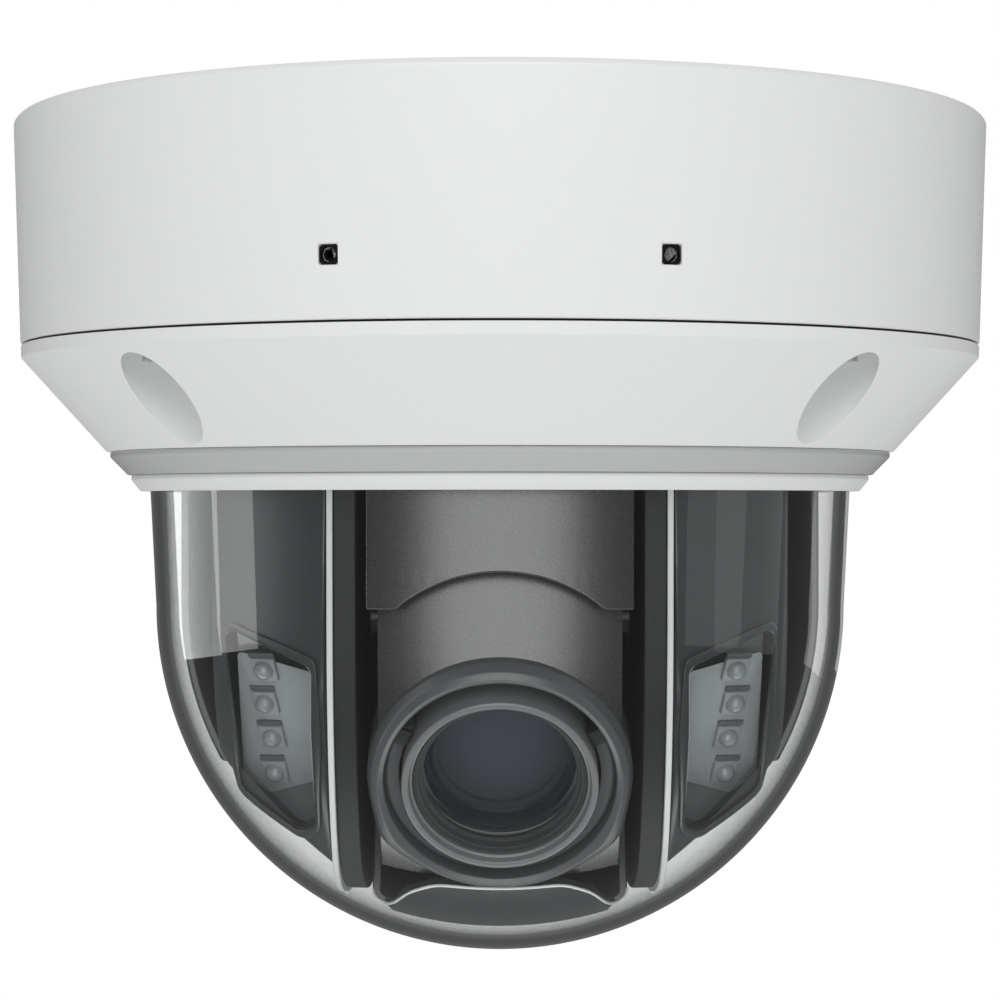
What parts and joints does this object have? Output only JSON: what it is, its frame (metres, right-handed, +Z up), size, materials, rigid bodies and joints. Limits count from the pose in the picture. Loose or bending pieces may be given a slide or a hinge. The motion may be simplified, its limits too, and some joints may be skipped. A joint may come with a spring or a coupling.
{
  "type": "ptz dome camera",
  "caption": "Ceiling-hung pan, tilt and zoom dome camera: white round housing, bevelled cover, clear dome, geared pan module with lamp lobes and a tilting lens head.",
  "frame": {"origin": "centre of the ceiling face of the housing", "axes": "+Z up into the ceiling, the dome hangs along -Z, and the lens looks towards -Y at rest"},
  "size_m": [0.16, 0.16, 0.1361],
  "materials": {
    "white_paint": "satin",
    "trim_grey": "satin",
    "black_rubber": "matte",
    "clear_dome": "gloss",
    "zinc_steel": "satin",
    "sheet_aluminium": "satin",
    "green_board": "satin",
    "spacer_brass": "satin",
    "dark_plastic": "satin",
    "grained_plastic": "matte",
    "lobe_plastic": "satin",
    "seal_foam": "matte",
    "ir_glass": "gloss",
    "lamp_board": "satin",
    "led_lens": "gloss",
    "acetal": "satin",
    "button_red": "satin",
    "lens_glass": "gloss",
    "filter_glass": "gloss",
    "lens_black": "satin"
  },
  "bodies": {
    "root": {"base_housing": "white_paint", "mount_plate": "zinc_steel", "cable_grommet": "black_rubber", "conduit_plug": "white_paint", "base_seal": "black_rubber", "dome_cover": "white_paint", "cover_screws": "zinc_steel", "trim_ring": "trim_grey", "lower_rim": "white_paint", "dome_bubble": "clear_dome", "dome_seal": "black_rubber", "dome_retainer": "dark_plastic", "retainer_screws": "zinc_steel", "chassis_plate": "sheet_aluminium", "chassis_screws": "zinc_steel", "main_board": "green_board", "heat_spreader": "sheet_aluminium", "board_spacers": "spacer_brass", "network_jack": "zinc_steel", "card_slot": "zinc_steel", "reset_switch": "dark_plastic", "microphones": "dark_plastic", "pan_motor": "zinc_steel", "pan_bearing": "zinc_steel"},
    "pan": {"turntable": "dark_plastic", "hub_clip": "zinc_steel", "pan_gear": "acetal", "side_frame_left": "dark_plastic", "side_frame_right": "dark_plastic", "frame_screws": "zinc_steel", "light_seals": "seal_foam", "ir_lobe_left": "lobe_plastic", "ir_lobe_right": "lobe_plastic", "ir_windows": "ir_glass", "ir_boards": "lamp_board", "ir_leds": "led_lens", "front_shield": "grained_plastic", "rear_shield": "grained_plastic", "rear_cover_left": "lobe_plastic", "rear_cover_right": "lobe_plastic", "tilt_motor": "zinc_steel", "tilt_bearings": "zinc_steel"},
    "tilt": {"head_front_shell": "grained_plastic", "head_rear_shell": "dark_plastic", "lens_collar": "dark_plastic", "head_chassis": "sheet_aluminium", "lens_barrel": "dark_plastic", "front_element": "lens_glass", "lens_retainer": "dark_plastic", "guide_rods": "zinc_steel", "sensor_board": "green_board", "tilt_axles": "zinc_steel", "tilt_gear": "acetal"},
    "pan_drive": {"pan_pinion": "acetal"},
    "tilt_drive": {"tilt_pinion": "acetal"},
    "zoom": {"zoom_group": "dark_plastic"},
    "focus": {"focus_group": "dark_plastic"},
    "filter": {"ir_cut_filter": "filter_glass"},
    "reset": {"reset_button": "button_red"}
  },
  "joints": [
    {"name": "pan_turn", "type": "hinge", "parent": "root", "child": "pan", "pos_m": [0, 0, 0], "axis": [0, 0, 1], "range_deg": [-175, 175]},
    {"name": "tilt_turn", "type": "hinge", "parent": "pan", "child": "tilt", "pos_m": [0, 0, -0.081], "axis": [1, 0, 0], "range_deg": [-29, 61]},
    {"name": "pan_pinion_spin", "type": "hinge", "parent": "root", "child": "pan_drive", "pos_m": [0, 0.045, -0.024], "axis": [0, 0, 1], "range_deg": [-701, 701]},
    {"name": "tilt_pinion_spin", "type": "hinge", "parent": "pan", "child": "tilt_drive", "pos_m": [0.028, 0.00657, -0.06296], "axis": [1, 0, 0], "range_deg": [-184, 88]},
    {"name": "zoom_slide", "type": "slide", "parent": "tilt", "child": "zoom", "axis": [0, -0.8746, -0.4848], "range_m": [-0.01, 0.012]},
    {"name": "focus_slide", "type": "slide", "parent": "tilt", "child": "focus", "axis": [0, -0.8746, -0.4848], "range_m": [-0.0035, 0.0045]},
    {"name": "filter_slide", "type": "slide", "parent": "tilt", "child": "filter", "axis": [1, 0, 0], "range_m": [0, 0.0075]},
    {"name": "reset_press", "type": "slide", "parent": "root", "child": "reset", "axis": [0, 0, 1], "range_m": [0, 0.0005], "stiffness_N_per_m": 600, "springref_m": -0.0005}
  ],
  "couplings": [
    {"joint": "pan_pinion_spin", "follows": "pan_turn", "ratio": -4},
    {"joint": "tilt_pinion_spin", "follows": "tilt_turn", "ratio": -3}
  ]
}
